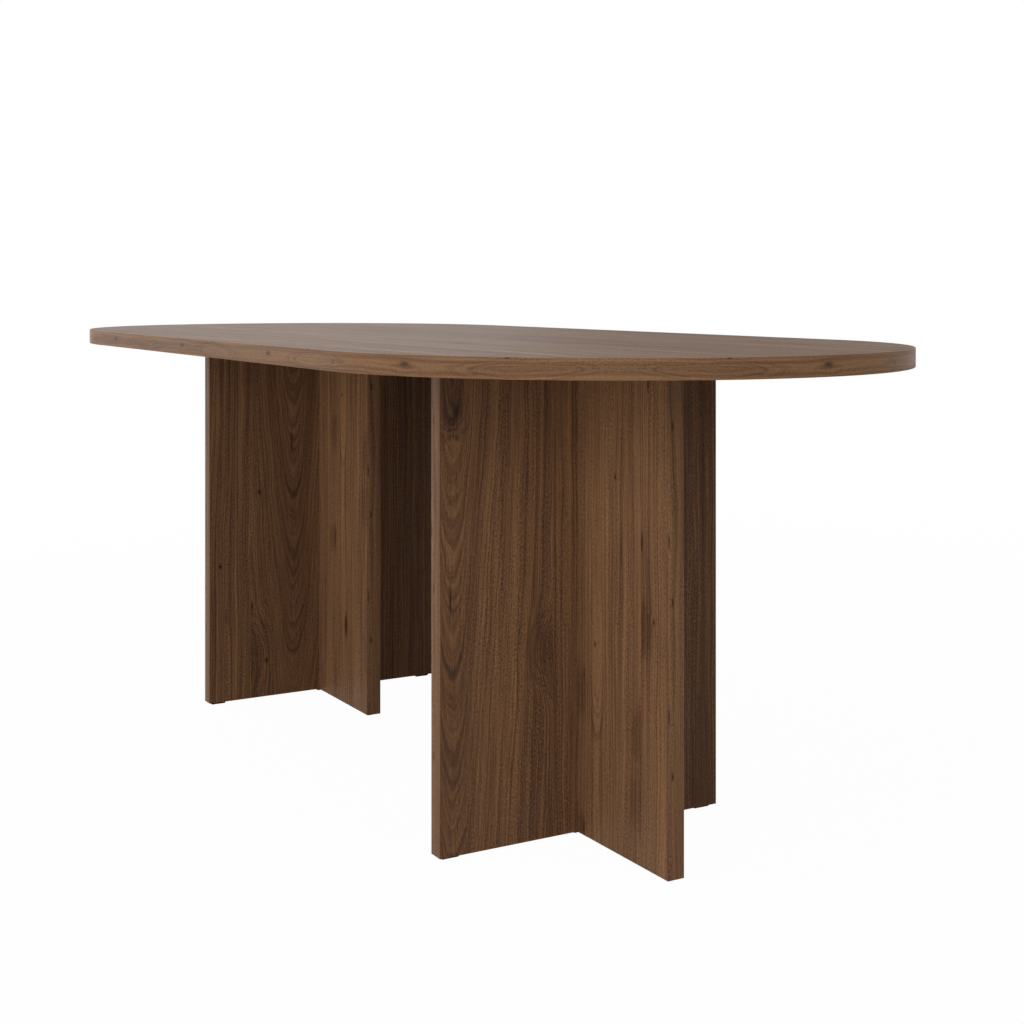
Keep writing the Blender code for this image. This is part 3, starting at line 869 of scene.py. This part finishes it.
floor_mesh = bpy.data.meshes.new("studio_floor")
floor_points = [(x * FLOOR_REACH, y * FLOOR_REACH, 0.0) for x, y in FLOOR_CORNERS]
floor_mesh.from_pydata(floor_points, [], [(0, 1, 2, 3)])
floor = bpy.data.objects.new("studio_floor", floor_mesh)
bpy.context.scene.collection.objects.link(floor)
floor_paper, floor_place = start_material("studio_floor_paper")
paper = floor_place.node("ShaderNodeBsdfDiffuse", inputs={"Color": FLOOR_PAPER})
white = floor_place.node("ShaderNodeEmission", inputs={"Color": WHITE, "Strength": 1.0})
shadow_share = ellipse(floor_place, 0.0, 0.0, 2 * SHADOW_REACH, 2 * SHADOW_REACH) * SHADOW_SHARE
white_share = seen_directly(floor_place) * (1 - shadow_share)
floor_shader = floor_place.node("ShaderNodeMixShader", inputs={0: white_share, 1: paper, 2: white})
floor_place.node("ShaderNodeOutputMaterial", inputs={"Surface": floor_shader})
floor_mesh.materials.append(floor_paper)

world = bpy.data.worlds.new("studio_surround")
world.use_nodes = True
world.node_tree.nodes.clear()
sky = Field(world.node_tree, None)
dome = sky.node("ShaderNodeBackground", inputs={"Color": WHITE, "Strength": DOME_LEVEL})
surround = sky.node("ShaderNodeBackground", inputs={"Color": WHITE, "Strength": 1.0})
sky_shader = sky.node("ShaderNodeMixShader", inputs={0: seen_directly(sky), 1: dome, 2: surround})
sky.node("ShaderNodeOutputWorld", inputs={"Surface": sky_shader})
bpy.context.scene.world = world

for lamp in LAMPS:
    bearing = math.radians(lamp["bearing"])
    rise = math.radians(lamp["rise"])
    way = Vector((math.cos(rise) * math.cos(bearing), math.cos(rise) * math.sin(bearing), math.sin(rise)))
    light = bpy.data.lights.new(lamp["name"], "AREA")
    light.shape = "RECTANGLE"
    light.size = LAMP_WIDE
    light.size_y = LAMP_TALL
    light.energy = lamp["level"] * (math.pi * LAMP_DISTANCE) ** 2
    stand = bpy.data.objects.new(lamp["name"], light)
    stand.location = LAMP_AIM + way * LAMP_DISTANCE
    stand.rotation_euler = (-way).to_track_quat("-Z", "Y").to_euler()
    bpy.context.scene.collection.objects.link(stand)


# Camera: level, a hand's breadth higher than the top and off the table's front right corner, with
# the lens shifted down so that upright edges stay upright.
CAMERA_PLACE = (2.5617, -1.3140, 0.8360)
CAMERA_LEVEL = math.radians(90)
CAMERA_TURN = math.radians(59.973)
SENSOR_WIDE = 36.0
LENS_LENGTH = 55.88
LENS_SHIFT = -0.2196
camera = bpy.data.cameras.new("camera")
camera.sensor_width = SENSOR_WIDE
camera.lens = LENS_LENGTH
camera.shift_y = LENS_SHIFT
camera_stand = bpy.data.objects.new("camera", camera)
camera_stand.location = CAMERA_PLACE
camera_stand.rotation_euler = (CAMERA_LEVEL, 0.0, CAMERA_TURN)
bpy.context.scene.collection.objects.link(camera_stand)
bpy.context.scene.camera = camera_stand
bpy.context.scene.view_settings.view_transform = "Standard"
